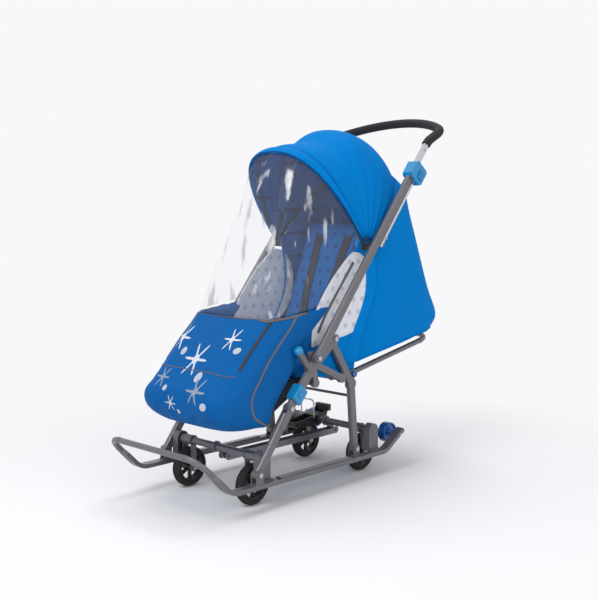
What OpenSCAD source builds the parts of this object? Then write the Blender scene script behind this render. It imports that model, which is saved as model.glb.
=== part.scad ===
// Sled stroller: a child's pushchair on two sled runners, with four wheels that a pedal lifts.
// Millimetres. X across (the child's left is +X), the front looks along -Y, Z up.
// Points in the side view are [y, z] pairs measured from the middle of the wheelbase on the ground.

/* [Wheels] */
// Diameter of a tyre
wheel_d = 112; // [100:1:116]
// Width of a tyre
tyre_w = 27; // [22:1:30]
// Diameter of a plastic rim
rim_d = 82; // [72:1:90]
// Spokes in a rim
spokes = 6; // [5:1:8]
// Distance between the front wheels
front_track = 258; // [244:1:264]
// Distance between the rear wheels
rear_track = 224; // [214:1:250]
// Diameter of a wheel bolt
wheel_bolt_d = 8; // [6:0.5:10]

/* [Wheel lift] */
// Place of the front axle along the sled
front_axle_y = -228; // [-236:1:-220]
// Place of the rear axle along the sled
rear_axle_y = 216; // [208:1:226]
// Height of both axles
axle_z = 133; // [130:1:138]
// Diameter of an axle tube
axle_d = 20; // [16:1:24]
// How far the rear wheels trail behind their axle
rear_trail = 16; // [8:1:20]
// Length of the levers that the link bar joins
lever_len = 44; // [40:1:50]
// Width of the link bar
link_w = 30; // [24:1:36]
// Length of the pedal trough ahead of the rear axle
pedal_front = 104; // [80:1:110]
// Length of the pedal trough behind the rear axle
pedal_rear = 40; // [34:1:48]
// Width of the pedal trough
pedal_w = 44; // [36:1:48]

/* [Runners] */
// Distance between the middles of the runners
runner_gauge = 374; // [370:1:380]
// Width of the flattened runner tube
runner_w = 28; // [26:1:32]
// Height of the flattened runner tube
runner_h = 12; // [10:1:14]
// Height of the runner soles while the wheels are down
sole_z = 62; // [58:1:64]
// Straight runner ahead of the front axle
nose_reach = 107; // [100:1:120]
// Length of the rising nose
nose_len = 120; // [105:1:130]
// Rise of the nose
nose_angle = 45; // [38:1:48]
// Diameter of the round nose bar
nose_d = 16; // [14:1:18]
// Length of the rising tail
tail_len = 82; // [70:1:90]
// Rise of the tail
tail_angle = 32; // [26:1:36]
// Diameter of a rear roller
roller_d = 60; // [50:1:64]
// Width of a rear roller
roller_w = 25; // [18:1:28]

/* [Legs] */
// Width of a leg tube seen from the side
leg_w = 25; // [22:1:26]
// Thickness of a leg tube across its flats
leg_t = 15; // [13:1:16]
// Distance between the middles of the front legs
leg_gauge = 374; // [372:1:376]
// Front foot pivot, along
front_foot_y = -265; // [-268:1:-262]
// Front foot pivot, height
front_foot_z = 99; // [96:1:102]
// Knee pivot, along
knee_y = -148; // [-152:1:-144]
// Knee pivot, height
knee_z = 255; // [250:1:260]
// Junction of leg, stub and arm, along
junction_y = -66; // [-70:1:-62]
// Junction of leg, stub and arm, height
junction_z = 345; // [340:1:350]
// Apex where arm and rear leg meet, along
apex_y = 31; // [26:1:36]
// Apex where arm and rear leg meet, height
apex_z = 423; // [418:1:428]
// Rear foot pivot, along
rear_foot_y = 138; // [134:1:142]
// Rear foot pivot, height
rear_foot_z = 92; // [90:1:96]
// Bend in the rear leg, along
bend_y = 121; // [117:1:125]
// Bend in the rear leg, height
bend_z = 283; // [276:1:290]
// Diameter of the leg and handle pins
pin_d = 8; // [7:0.5:9]
// Length of a knee sleeve
sleeve_len = 46; // [40:1:48]
// Length of a latch stub
stub_len = 70; // [60:1:78]

/* [Handle] */
// Handle pivot, along
handle_y = -58; // [-61:1:-55]
// Handle pivot, height
handle_z = 381; // [378:1:384]
// Rise of the handle
handle_angle = 51; // [49:0.5:53]
// Length of a handle tube
handle_len = 676; // [650:1:690]
// Diameter of the push bar
bar_d = 17; // [15:0.5:18]
// Width of the push bar legs, which slide inside the handle tubes
slide_w = 21; // [18:0.5:21.5]
// Distance of the stay rods behind the handle tubes
stay_offset = 21; // [20:0.5:24]
// Diameter of a stay rod
stay_d = 11; // [8:0.5:13]
// Length of a stay rod below its clamp
stay_len = 252; // [220:1:270]
// Length of the push bar legs inside the handle tubes
bar_below = 200; // [160:1:240]
// Length of the push bar legs above the clamps
bar_above = 78; // [70:1:110]
// Length of the flatter top of the push bar
bar_top = 140; // [125:1:150]
// Rise of the flatter top of the push bar
bar_angle = 27; // [20:1:36]
// Outer diameter of the foam grip
grip_d = 27; // [25:1:30]

/* [Hood] */
// Hood pivot, distance up the handle tube
hood_at = 372; // [360:1:384]
// Direction of the hood's front rim, from level rear
rim_angle = 128; // [124:1:131]
// Direction of the hood's rear edge, from level rear
hood_rear_angle = 47; // [44:1:49]
// Reach of the front rim from the pivot
rim_reach = 338; // [330:1:344]
// Reach of the crown from the pivot
crown_reach = 343; // [336:1:350]
// Reach of the hood's rear edge from the pivot
hood_rear_reach = 322; // [312:1:330]
// Half width of the hood
hood_half = 190; // [187:0.5:192]
// Thickness of the hood cloth with its lining
cloth = 3; // [2:0.5:4]
// Diameter of a hood bow
bow_d = 6; // [5:0.5:7]

/* [Seat] */
// Half width of the seat cushion
seat_half = 146; // [140:1:147]
// Height of the seat boards' underside
seat_z = 318; // [316:1:322]
// Thickness of the seat cushion
seat_thick = 32; // [26:1:36]
// Length of the backrest
back_len = 440; // [420:1:450]
// Thickness of the backrest
back_thick = 30; // [24:1:34]
// Rise of the backrest
back_angle = 68; // [66:1:70]
// Backrest rod, along
rod_y = 112; // [108:1:116]
// Backrest rod, height
rod_z = 330; // [328:1:334]
// Diameter of the backrest rod
rod_d = 10; // [8:0.5:12]
// Half width of the foot muff
muff_half = 167; // [165:0.5:168]
// Thickness of the padded muff
muff_wall = 5; // [4:0.5:6]

/* [Hidden] */
// Running gap round a pin or in a bore, on the radius
fit = 0.05;
// Gap between neighbouring pieces that move past each other
gap = 0.4;
// Gap between the cloth or padding and what carries it
rest_gap = 0.3;
// How much thicker a swaged collar is than its bar, its length, and half the joint inside it
collar_over = 1.2;
collar_len = 9;
half_joint = 0.5;
// How far two tubes stop short of each other inside a welded knuckle
joint_cut = 6;
// Wall of sheet metal parts
sheet = 3;
// How far a welded knuckle stays inside the flats of its tube
step = 0.5;

function mix(a, b, s) = a + (b - a) * s;
function aim(p, q) = atan2(q[1] - p[1], q[0] - p[0]);
function ahead(p, a, d) = p + d * [cos(a), sin(a)];
// Smooth curve through a list of points, s from 0 to 1
function smooth(pts, s) = let(
    n = len(pts) - 1,
    i = min(floor(s * n), n - 1),
    f = s * n - i,
    a = pts[max(i - 1, 0)],
    b = pts[i],
    c = pts[i + 1],
    d = pts[min(i + 2, n)])
    0.5 * (2 * b + (c - a) * f + (2 * a - 5 * b + 4 * c - d) * f * f + (3 * b - a - 3 * c + d) * f * f * f);
// Rounded arch across the width, t from -90 to 90
function across(t, k) = sign(t) * pow(abs(sin(t)), k);
function depth(t, k) = pow(max(cos(t), 0), k);

wheel_r = wheel_d / 2;
front_axle = [front_axle_y, axle_z];
rear_axle = [rear_axle_y, axle_z];
front_hub = [front_axle_y, wheel_r];
rear_hub = [rear_axle_y + rear_trail, wheel_r];
runner_x = runner_gauge / 2;
bracket_w = 40;
bracket_x = 155;
bracket_t = 23;
runner_mid = sole_z + runner_h / 2;
runner_top = sole_z + runner_h;
nose_r = 60;
tail_r = 50;
nose_start = [front_axle_y - nose_reach, runner_mid];
nose_foot = nose_start + nose_r * [-sin(nose_angle), 1 - cos(nose_angle)];
nose_bar = ahead(nose_foot, 180 - nose_angle, nose_len);
tail_start = [rear_axle_y + bracket_w / 2 + 0.5, runner_mid];
tail_foot = tail_start + tail_r * [sin(tail_angle), 1 - cos(tail_angle)];
roller = ahead(tail_foot, tail_angle, tail_len - 22);
leg_x = leg_gauge / 2;
plane_gap = 3;
rear_leg_x = leg_x - leg_t - plane_gap;
handle_x = leg_x + leg_t + plane_gap;
front_foot = [front_foot_y, front_foot_z];
knee = [knee_y, knee_z];
junction = [junction_y, junction_z];
apex = [apex_y, apex_z];
rear_foot = [rear_foot_y, rear_foot_z];
bend = [bend_y, bend_z];
pivot = [handle_y, handle_z];
knee_cut = 20;
stub_angle = 128;
stub_d = 20;
stub_tip = ahead(junction, stub_angle, stub_len);
stem_d = 8;
handle_top = ahead(pivot, handle_angle, handle_len);
hood = ahead(pivot, handle_angle, hood_at);
fork_gap = tyre_w / 2 + 3;
arm_t = 4;
fork_d = axle_d + 8;
pedal_x = 50 - rear_track / 2;
link_x = -12;
link_h = 22;
lever_angle = -45;
lever_t = 6;
front_lever = ahead(front_axle, lever_angle, lever_len);
rear_lever = ahead(rear_axle, lever_angle, lever_len);
seat_tube_d = 16;
// The seat cushion rests on both seat tubes
hanger = [60, seat_z - seat_tube_d / 2 - rest_gap];
seat_front = [-48, hanger[1]];
rod = [rod_y, rod_z];
// Height of a cushion's crown
crown = 6;
bow_half = hood_half - cloth - (bow_d + collar_over) / 2 - 5 * rest_gap;
// How far the top of a bow stays under the outside of the cloth
bow_inset = 12;
bow_gap = bow_d + 1;
front_bow_angle = rim_angle - 6;
mid_bow_angle = 82;
eye_t = 3;
stud_d = 6;
stud_end = bow_half - 2 * bow_gap - bow_d / 2 - 1;
clamp_len = 54;
elbow_r = 70;
bar_side_r = 55;
bar_bow_r = 300;
slide_t = 11;
// How far the push bar can be pushed in
bar_dive = 30;
elbow = ahead(ahead(handle_top, handle_angle, bar_above), handle_angle - 90, elbow_r);
elbow_end = ahead(elbow, bar_angle + 90, elbow_r);
bar_end = ahead(elbow_end, bar_angle, bar_top);
stay_foot = ahead(pivot, handle_angle, handle_len - clamp_len + 6 + 30 - stay_len);
clamp_w = 58;
clamp_t = 34;
frame_d = 16;
frame_half = 158;
frame_hinge = [bend_y + 16, bend_z + 26];
frame_angle = 10.5;
frame_len = 396;
tail_tip = [572, 456];
// The origin lies under the middle of the whole part
middle_y = (nose_bar[0] - (nose_d + collar_over) / 2 + max(bar_end[0] + grip_d / 2, tail_tip[0])) / 2;

$fn = 48;

// Shared placing and shapes

module place() { translate([0, -middle_y, 0]) children(); }
module at(p, a = 0, x = 0) { translate([x, p[0], p[1]]) rotate([a, 0, 0]) children(); }
module both() { children(); mirror([1, 0, 0]) children(); }
module right() { mirror([1, 0, 0]) children(); }
// A round bar across the part from x0 to x1
module bar_x(p, d, x0, x1) { translate([x0, p[0], p[1]]) rotate([0, 90, 0]) cylinder(d = d, h = x1 - x0); }
// Section of a round tube pressed flat on two sides
module pressed(w, t) { intersection() { circle(d = w); square([t, w + 1], center = true); } }
// Pressed tube in the side plane from p to q, its flats facing sideways, cut short inside a knuckle
module strut(p, q, x, w, t, from = 0, to = 0) {
    at(p, aim(p, q), x) rotate([-90, 0, 0]) translate([0, 0, from])
        linear_extrude(norm(q - p) - from - to) pressed(w, t);
}
// Plate in the side plane, drawn by 2D children in [y, z], from x to x + t
module plate(x, t) {
    for (i = [0 : $children - 1]) translate([x, 0, 0]) rotate([90, 0, 90]) linear_extrude(t) children(i);
}
module dot(p, d) { translate(p) circle(d = d); }
module lobe(p, q, w) {
    translate(p) rotate(aim(p, q)) translate([0, -w / 2]) square([norm(q - p), w]);
}
// Round bars are made of straight and bent pieces that meet inside short swaged collars
module collar(d) { rotate([-90, 0, 0]) cylinder(d = d + collar_over, h = collar_len, center = true); }
module straight(d, y0, y1) {
    translate([0, y0 + half_joint, 0]) rotate([-90, 0, 0]) cylinder(d = d, h = y1 - y0 - 2 * half_joint);
}
module bent(r, a0, a1, d) {
    cut = 57.3 * half_joint / r;
    rotate(a0 + cut) rotate_extrude(angle = a1 - a0 - 2 * cut) translate([r, 0]) circle(d = d);
}
// U of round bar in the local plane, legs along +Y from the origin line
module u_bar(half, length, bend_r, d, start = 0) {
    for (s = [-1, 1]) {
        translate([s * half, 0, 0]) straight(d, start, length - bend_r);
        translate([s * half, length - bend_r, 0]) collar(d);
        translate([s * (half - bend_r), length - bend_r, 0])
            bent(bend_r, s > 0 ? 0 : 90, s > 0 ? 90 : 180, d);
        translate([s * (half - bend_r), length, 0]) rotate(90) collar(d);
    }
    translate([0, length, 0]) rotate(90) straight(d, bend_r - half, half - bend_r);
}
// Arch in the local plane: two legs, a side arc each and a top arc
function arch_lean(half, side_r, top_r) = asin((half - side_r) / (top_r - side_r));
function arch_low(half, length, side_r, top_r) =
    length - top_r + (top_r - side_r) * cos(arch_lean(half, side_r, top_r));
module arch(half, length, side_r, top_r, d, start = 0) {
    lean = arch_lean(half, side_r, top_r);
    low = arch_low(half, length, side_r, top_r);
    for (s = [-1, 1]) {
        translate([s * half, 0, 0]) straight(d, start, low);
        translate([s * half, low, 0]) collar(d);
        translate([s * (half - side_r), low, 0])
            bent(side_r, s > 0 ? 0 : 90 + lean, s > 0 ? 90 - lean : 180, d);
        translate([s * top_r * sin(lean), length - top_r + top_r * cos(lean), 0])
            rotate(s * (90 - lean)) collar(d);
    }
    translate([0, length - top_r, 0]) bent(top_r, 90 - lean, 90 + lean, d);
}
// Closed solid between an outer and an inner grid of points
module skin(outer, inner) {
    r = len(outer);
    c = len(outer[0]);
    n = r * c;
    pts = concat([for (row = outer) for (p = row) p], [for (row = inner) for (p = row) p]);
    function q(a, b, d, e) = [[a, b, d], [a, d, e]];
    faces = concat(
        [for (i = [0 : r - 2]) for (j = [0 : c - 2])
            each q(i * c + j, i * c + j + 1, (i + 1) * c + j + 1, (i + 1) * c + j)],
        [for (i = [0 : r - 2]) for (j = [0 : c - 2])
            each q(n + i * c + j, n + (i + 1) * c + j, n + (i + 1) * c + j + 1, n + i * c + j + 1)],
        [for (j = [0 : c - 2]) each q(j + 1, j, n + j, n + j + 1)],
        [for (j = [0 : c - 2])
            each q((r - 1) * c + j, (r - 1) * c + j + 1, n + (r - 1) * c + j + 1, n + (r - 1) * c + j)],
        [for (i = [0 : r - 2]) each q(i * c, (i + 1) * c, n + (i + 1) * c, n + i * c)],
        [for (i = [0 : r - 2])
            each q((i + 1) * c + c - 1, i * c + c - 1, n + i * c + c - 1, n + (i + 1) * c + c - 1)]);
    polyhedron(pts, faces, convexity = 6);
}

// Sled chassis

// Straight stretch of flattened tube from a point, stopping short of the joint at each end
module flat_run(p, a, length) {
    at(p, a, runner_x) translate([0, half_joint, 0]) rotate([-90, 0, 0])
        linear_extrude(length - 2 * half_joint) rotate(90) pressed(runner_w, runner_h);
}
module flat_bend(p, r, a0, turn) {
    cut = 57.3 * half_joint / r;
    at(p + [0, r], 0, runner_x) rotate([90, 0, 90]) rotate(a0 - 90 + cut)
        rotate_extrude(angle = turn - 2 * cut) translate([r, 0]) pressed(runner_w, runner_h);
}
// Spigot inside the joint where a bend begins or ends
module flat_spigot(p, a) {
    at(p, a, runner_x) rotate([-90, 0, 0]) translate([0, 0, -collar_len / 2]) linear_extrude(collar_len)
        rotate(90) pressed(runner_w - collar_over, runner_h - collar_over);
}

module runner_side() {
    flat_run(nose_start, 0, tail_start[0] - nose_start[0]);
    flat_bend(nose_start, nose_r, -nose_angle, nose_angle);
    flat_bend(tail_start, tail_r, 0, tail_angle);
    flat_run(tail_foot, tail_angle, tail_len + half_joint);
    flat_spigot(nose_start, 0);
    flat_spigot(tail_start, 0);
    flat_spigot(tail_foot, tail_angle);
    flat_spigot(nose_foot, -nose_angle);
    // The nose narrows from the flat section to the round bar
    intersection() {
        at(nose_foot, 180 - nose_angle, runner_x) translate([0, half_joint, 0]) rotate([-90, 0, 0])
            linear_extrude(nose_len / 2) rotate(90) pressed(runner_w, runner_h);
        at(nose_foot, 180 - nose_angle, runner_x) translate([0, 0, -runner_w]) linear_extrude(2 * runner_w)
            polygon([[-runner_w, -1], [runner_w, -1], [nose_d / 2 - 1, nose_len / 2 + 1],
                [1 - nose_d / 2, nose_len / 2 + 1]]);
    }
}

module runner_frame() {
    color("dimgray") difference() {
        union() {
            both() runner_side();
            at(nose_foot, 180 - nose_angle) u_bar(runner_x, nose_len, 52, nose_d, 8);
        }
        both() bar_x(roller, pin_d + 2 * fit, runner_x - runner_w, runner_x + runner_w);
    }
}

module runner_rails() {
    w = 16;
    color("gray") both() translate([runner_x - w / 2, front_axle_y + bracket_w, runner_top])
        cube([w, rear_foot_y - front_axle_y - bracket_w - 40, 4]);
}

// Housing with a rounded top that carries one end of an axle, hollow and ribbed on its inner side
module bracket(p) {
    base = runner_top - p[1];
    at(p) difference() {
        union() {
            plate(bracket_x, bracket_t) union() {
                circle(d = bracket_w);
                translate([-bracket_w / 2, base]) square([bracket_w, -base]);
            }
            translate([bracket_x, -bracket_w / 2, base]) cube([bracket_t + 10, bracket_w, 4]);
            bar_x([0, 0], 24, bracket_x + bracket_t - 1, bracket_x + bracket_t + 1);
        }
        difference() {
            plate(bracket_x - 1, bracket_t - sheet + 1) union() {
                circle(d = bracket_w - 2 * sheet);
                translate([sheet - bracket_w / 2, base + 6]) square([bracket_w - 2 * sheet, -base - 6]);
            }
            bar_x([0, 0], 26, bracket_x - 2, bracket_x + bracket_t);
            for (y = [-9, 9]) translate([bracket_x + 2, y - 1.5, base]) cube([bracket_t, sheet, -base]);
        }
        bar_x([0, 0], axle_d - 6 + 2 * fit, bracket_x - 2, bracket_x + bracket_t - 1);
    }
}

module front_brackets() { color("gray") both() bracket(front_axle); }
module rear_brackets() { color("gray") both() bracket(rear_axle); }

// Clevis that holds the foot of a leg
module foot(p, x) {
    h = p[1] - runner_top;
    difference() {
        union() {
            for (s = [-1, 1]) plate(s > 0 ? x + leg_t / 2 + gap : x - leg_t / 2 - gap - sheet, sheet) {
                dot(p, leg_w + 1);
                translate([p[0] - leg_w / 2, runner_top]) square([leg_w, h]);
            }
            translate([x - leg_t / 2 - gap - sheet, p[0] - leg_w / 2 - 3, runner_top])
                cube([leg_t + 2 * (gap + sheet), leg_w + 6, sheet]);
        }
        bar_x(p, pin_d + 2 * fit, x - leg_t, x + leg_t);
    }
}

module leg_feet() {
    color("gray") both() { foot(front_foot, leg_x); foot(rear_foot, rear_leg_x); }
}

module headed_pin(p, x0, x1) {
    bar_x(p, pin_d, x0, x1);
    bar_x(p, pin_d + 5, x1, x1 + 4);
}

module chassis_bolts() {
    ear = leg_t / 2 + gap + sheet;
    spacer = runner_x - runner_w / 2 - 1;
    color("silver") both() {
        headed_pin(front_foot, leg_x - ear, leg_x + ear);
        headed_pin(rear_foot, rear_leg_x - ear, rear_leg_x + ear);
        bar_x(roller, pin_d, spacer - 10 - roller_w - 4, runner_x + runner_w / 2 + 2);
        bar_x(roller, pin_d + 6, spacer - 9, spacer);
        bar_x(roller, pin_d + 6, spacer - 10 - roller_w - 5, spacer - 10 - roller_w - 1);
    }
}

module rear_roller() {
    outer = runner_x - runner_w / 2 - 11;
    color("dodgerblue") at(roller, 0, outer - roller_w) rotate([0, 90, 0]) rotate_extrude() polygon([
        [pin_d / 2 + fit, 0], [12, 0], [12, 5], [roller_d / 2 - 6, 5], [roller_d / 2 - 4, 0],
        [roller_d / 2 - 1, 0], [roller_d / 2, 2], [roller_d / 2, roller_w - 2], [roller_d / 2 - 1, roller_w],
        [roller_d / 2 - 4, roller_w], [roller_d / 2 - 6, roller_w - 5], [12, roller_w - 5], [12, roller_w],
        [pin_d / 2 + fit, roller_w]]);
}

// Wheels and their lift

module axle(p, lever) {
    bar_x(p, axle_d, -bracket_x + gap, bracket_x - gap);
    bar_x(p, axle_d - 6, -bracket_x - bracket_t + sheet, bracket_x + bracket_t - sheet);
    plate(link_x - lever_t / 2, lever_t) {
        dot(p, axle_d + 10);
        lobe(p, lever, 14);
        dot(lever, 17);
    }
    bar_x(lever, pin_d, link_x - link_w / 2 - 2, link_x + link_w / 2 + 2);
}

module front_axle_tube() { color("dimgray") axle(front_axle, front_lever); }
module rear_axle_tube() { color("dimgray") axle(rear_axle, rear_lever); }

// Two arms on a sleeve, one each side of a wheel
module fork(p, hub, x) {
    difference() {
        union() {
            bar_x(p, fork_d, x - fork_gap - arm_t, x + fork_gap + arm_t);
            for (s = [-1, 1]) plate(s > 0 ? x + fork_gap : x - fork_gap - arm_t, arm_t) {
                dot(p, fork_d + 2);
                lobe(p, hub, 18);
                dot(hub, 24);
            }
        }
        bar_x(p, axle_d + 2 * fit, x - fork_gap - 9, x + fork_gap + 9);
        bar_x(hub, wheel_bolt_d + 2 * fit, x - fork_gap - 9, x + fork_gap + 9);
    }
}

module front_forks() { color("dimgray") both() fork(front_axle, front_hub, front_track / 2); }
module rear_forks() { color("dimgray") both() fork(rear_axle, rear_hub, rear_track / 2); }

module wheel_bolt(hub, x) {
    e = fork_gap + arm_t;
    bar_x(hub, wheel_bolt_d, x - e - 2, x + e);
    bar_x(hub, wheel_bolt_d + 6, x + e, x + e + 4);
    bar_x(hub, wheel_bolt_d + 5, x - e - 6, x - e);
}

module front_wheel_bolts() { color("silver") both() wheel_bolt(front_hub, front_track / 2); }
module rear_wheel_bolts() { color("silver") both() wheel_bolt(rear_hub, rear_track / 2); }

module tyre(hub, x) {
    w = tyre_w / 2;
    color("#222222") at(hub, 0, x) rotate([0, 90, 0]) rotate_extrude($fn = 64) difference() {
        polygon([[rim_d / 2 + fit, -w + 4], [rim_d / 2 + 5, -w], [wheel_r - 7, -w], [wheel_r - 2, -w + 5],
            [wheel_r, -w + 10], [wheel_r, w - 10], [wheel_r - 2, w - 5], [wheel_r - 7, w],
            [rim_d / 2 + 5, w], [rim_d / 2 + fit, w - 4]]);
        for (s = [-1, 1]) translate([wheel_r - 1, s * 3 - 0.75]) square([2, 1.5]);
    }
}

module rim(hub, x) {
    w = tyre_w / 2;
    h = fork_gap - gap;
    color("#3a3a3e") at(hub, 0, x) rotate([0, 90, 0]) {
        difference() {
            union() {
                rotate_extrude($fn = 64) polygon([[rim_d / 2 - 5, -w + 3], [rim_d / 2 - 1, -w + 3],
                    [rim_d / 2, -w + 4], [rim_d / 2, w - 4], [rim_d / 2 - 1, w - 3], [rim_d / 2 - 5, w - 3]]);
                translate([0, 0, -h]) cylinder(d = 22, h = 2 * h);
                for (i = [0 : spokes - 1]) rotate(i * 360 / spokes) translate([9, -3.5, -5])
                    cube([rim_d / 2 - 13, 7, 10]);
            }
            translate([0, 0, -w - 9]) cylinder(d = wheel_bolt_d + 2 * fit, h = tyre_w + 18);
        }
    }
}

module link_bar() {
    lug = [for (p = [front_lever, rear_lever]) p];
    color("slategray") difference() {
        union() {
            for (s = [-1, 1]) plate(s > 0 ? link_x + link_w / 2 - 2 : link_x - link_w / 2, 2) {
                for (p = lug) dot(p, link_h);
                translate([lug[0][0], lug[0][1] - link_h / 2]) square([lug[1][0] - lug[0][0], link_h - 5]);
            }
            translate([link_x - link_w / 2, lug[0][0] + 14, lug[0][1] - link_h / 2])
                cube([link_w, lug[1][0] - lug[0][0] - 28, 2]);
        }
        for (p = lug) bar_x(p, pin_d + 2 * gap, link_x - link_w, link_x + link_w);
    }
}

// Trough lever clamped on the rear axle, with a raised ribbed plate for the foot at its rear end
module pedal() {
    low = axle_d / 2 + 6;
    half = pedal_w / 2;
    color("#1c1c20") at(rear_axle, 0, pedal_x) difference() {
        union() {
            plate(-half, pedal_w) polygon([[-pedal_front, -8], [12 - pedal_front, -low], [10, -low],
                [pedal_rear - 6, 2], [pedal_rear, 22], [pedal_rear, 38], [pedal_rear - 5, 38],
                [pedal_rear - 16, 20], [-pedal_front, 4]]);
            translate([-half - 4, pedal_rear - 5, 20]) cube([pedal_w + 8, 15, 20]);
        }
        translate([sheet - half, sheet - pedal_front, sheet - 9])
            cube([pedal_w - 2 * sheet, pedal_front - axle_d / 2 - 12, 60]);
        translate([sheet - half, axle_d / 2 + 6, 12])
            cube([pedal_w - 2 * sheet, pedal_rear - axle_d / 2 - 12, 60]);
        for (i = [-2 : 2]) translate([i * 9 - 1.5, pedal_rear + 7, 19]) cube([3, 4, 22]);
        bar_x([0, 0], axle_d + 2 * fit, -pedal_w, pedal_w);
        bar_x([-28, 8], 5 + 2 * fit, -pedal_w, pedal_w);
    }
}

module latch_bail() {
    hinge = rear_axle + [-28, 8];
    half = pedal_w / 2 + 4;
    color("silver") {
        at(hinge, 90, pedal_x) u_bar(half, 56, 12, 4);
        for (s = [-1, 1]) bar_x(hinge, 5, s > 0 ? pedal_x + pedal_w / 2 - sheet + 0.5 : pedal_x - half - 2.5,
            s > 0 ? pedal_x + half + 2.5 : pedal_x - pedal_w / 2 + sheet - 0.5);
    }
}

// Folding frame

module front_legs() {
    top = ahead(knee, aim(knee, front_foot), knee_cut);
    color("dimgray") both() difference() {
        union() {
            strut(front_foot, top, leg_x, leg_w, leg_t);
            bar_x(front_foot, leg_w + 1, leg_x - leg_t / 2 + step, leg_x + leg_t / 2 - step);
            for (x = [leg_t / 2, gap - sheet - leg_t / 2]) plate(leg_x + x, sheet - gap) {
                dot(knee, leg_w + 2);
                lobe(ahead(top, aim(knee, front_foot), 40), knee, leg_w - 4);
            }
        }
        bar_x(front_foot, pin_d + 2 * fit, leg_x - leg_t, leg_x + leg_t);
        bar_x(knee, pin_d + 2 * fit, leg_x - leg_t, leg_x + leg_t);
    }
}

module side_frame() {
    x0 = leg_x - leg_t / 2 + gap;
    t = leg_t - 2 * gap;
    color("dimgray") difference() {
        union() {
            strut(knee, junction, leg_x, leg_w, t, 0, joint_cut);
            strut(junction, apex, leg_x, leg_w, t, joint_cut, 0);
            at(junction, stub_angle, leg_x) rotate([-90, 0, 0]) cylinder(d = stub_d, h = stub_len);
            plate(x0 + step, t - 2 * step) {
                dot(knee, leg_w + 1);
                dot(junction, leg_w + 8);
                dot(apex, leg_w + 1);
                dot(pivot, leg_w + 8);
                lobe(junction, pivot, leg_w + 4);
                lobe(ahead(junction, aim(junction, apex), 24), hanger, 18);
                lobe(ahead(junction, aim(junction, apex), 12), seat_front, 18);
                dot(seat_front, 24);
                dot(hanger, 26);
            }
        }
        bar_x(knee, pin_d + 2 * fit, x0 - 1, x0 + t + 1);
        bar_x(pivot, pin_d + 2 * fit, x0 - 9, x0 + t + 9);
        bar_x(apex, pin_d, x0 - 1, x0 + t + 1);
        bar_x(hanger, seat_tube_d + 2 * fit, x0 - 1, x0 + t - 4);
        bar_x(seat_front, seat_tube_d + 2 * fit, x0 - 1, x0 + t - 4);
        at(stub_tip, stub_angle, leg_x) rotate([90, 0, 0]) translate([0, 0, -1])
            cylinder(d = stem_d + 2 * fit, h = 40);
    }
}

module frame_bolts() {
    ear = leg_t / 2 + sheet - gap;
    color("silver") both() {
        headed_pin(knee, leg_x - ear - 1, leg_x + ear);
        headed_pin(pivot, leg_x - leg_t / 2 - 1, handle_x + leg_t / 2);
        bar_x(apex, pin_d - 2 * fit, leg_x - leg_t / 2 + gap, leg_x + leg_t / 2 - gap);
        bar_x(apex, pin_d + 6, leg_x + leg_t / 2 - gap, leg_x + leg_t / 2 + 2);
    }
}

// Sleeve that slides along the leg above the knee and locks it
module knee_sleeve() {
    a = aim(knee, junction);
    w = leg_w + 12;
    color("deepskyblue") at(ahead(knee, a, knee_cut + 2), a, leg_x) rotate([-90, 0, 0]) difference() {
        union() {
            translate([0, 0, 3]) linear_extrude(sleeve_len - 6)
                intersection() { circle(d = w + 8); square([leg_t + 13, w], center = true); }
            linear_extrude(sleeve_len)
                intersection() { circle(d = w + 4); square([leg_t + 10, w - 3], center = true); }
            translate([leg_t / 2 + 4, 0, sleeve_len / 2]) rotate([0, 90, 0]) cylinder(d = 18, h = 5);
        }
        translate([0, 0, -1]) linear_extrude(sleeve_len + 2) pressed(leg_w + 2 * gap, leg_t + 2 * gap);
    }
}

module latch_knob() {
    color("deepskyblue") at(stub_tip, stub_angle, leg_x) rotate([-90, 0, 0]) {
        translate([0, 0, gap]) rotate_extrude()
            polygon([[0, 0], [13, 0], [13, 9], [11, 13], [7, 15], [0, 15]]);
        translate([0, 0, -30]) cylinder(d = stem_d, h = 31);
    }
}

module rear_legs() {
    x0 = rear_leg_x - leg_t / 2;
    color("dimgray") both() difference() {
        union() {
            strut(rear_foot, bend, rear_leg_x, leg_w, leg_t, 0, joint_cut);
            strut(bend, apex, rear_leg_x, leg_w, leg_t, joint_cut, 0);
            plate(x0 + step, leg_t - 2 * step) {
                dot(rear_foot, leg_w + 1);
                dot(bend, leg_w + 8);
                dot(apex, leg_w + 1);
            }
            // Hinge plate at the bend for the rear loop
            plate(x0 + step, sheet) {
                lobe(ahead(bend, aim(bend, apex), 30), frame_hinge, 24);
                lobe(ahead(bend, aim(bend, rear_foot), 18), frame_hinge, 20);
                dot(frame_hinge, 26);
            }
        }
        bar_x(rear_foot, pin_d + 2 * fit, x0 - 1, x0 + leg_t + 1);
        bar_x(frame_hinge, pin_d + 2 * fit, x0 - 1, x0 + leg_t + 1);
        bar_x(cross_at, rod_wire + 2 * fit, x0 - 1, x0 + 8);
    }
}

rod_wire = 8;
cross_at = ahead(bend, aim(bend, rear_foot), 36);

module cross_rod() {
    x1 = rear_leg_x - leg_t / 2 + 7;
    color("dimgray") bar_x(cross_at, rod_wire, -x1, x1);
}

// Blue bolt caps on the hinges of the rear loop
module hinge_caps() {
    x0 = rear_leg_x - leg_t / 2;
    color("mediumblue") both() {
        bar_x(frame_hinge, pin_d, x0 - frame_d + 1, x0 + step + sheet);
        bar_x(frame_hinge, 18, x0 + step + sheet, x0 + sheet + 8);
    }
}

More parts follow.
